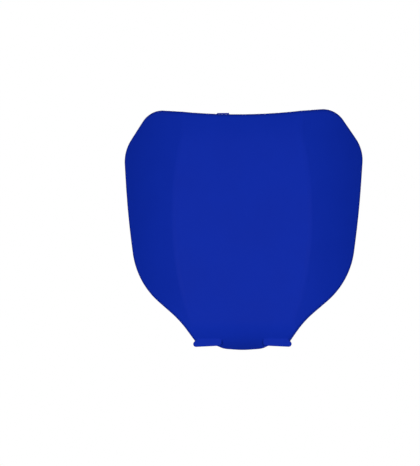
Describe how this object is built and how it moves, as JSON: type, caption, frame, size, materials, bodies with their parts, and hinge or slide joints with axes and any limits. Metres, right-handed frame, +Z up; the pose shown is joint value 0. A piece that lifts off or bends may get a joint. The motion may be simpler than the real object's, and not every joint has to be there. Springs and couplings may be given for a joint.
{
  "type": "motorbike headlight mask",
  "caption": "Shield-shaped moulded plastic mask for a motorbike front, with a flat centre panel, swept-back sides, a rolled rim, flared foot and strap brackets behind.",
  "frame": {"origin": "midway between the two strap pin bores, on the top face of the upper bracket lugs", "axes": "+X to the viewer's right when the mask is seen from the front, +Y backwards to the fork, +Z up along the pin bores"},
  "size_m": [0.2518, 0.0484, 0.2508],
  "materials": {
    "blue_plastic": "satin moulded polypropylene, coloured through"
  },
  "bodies": {
    "root": {"mask_shell": "blue_plastic"}
  },
  "joints": []
}
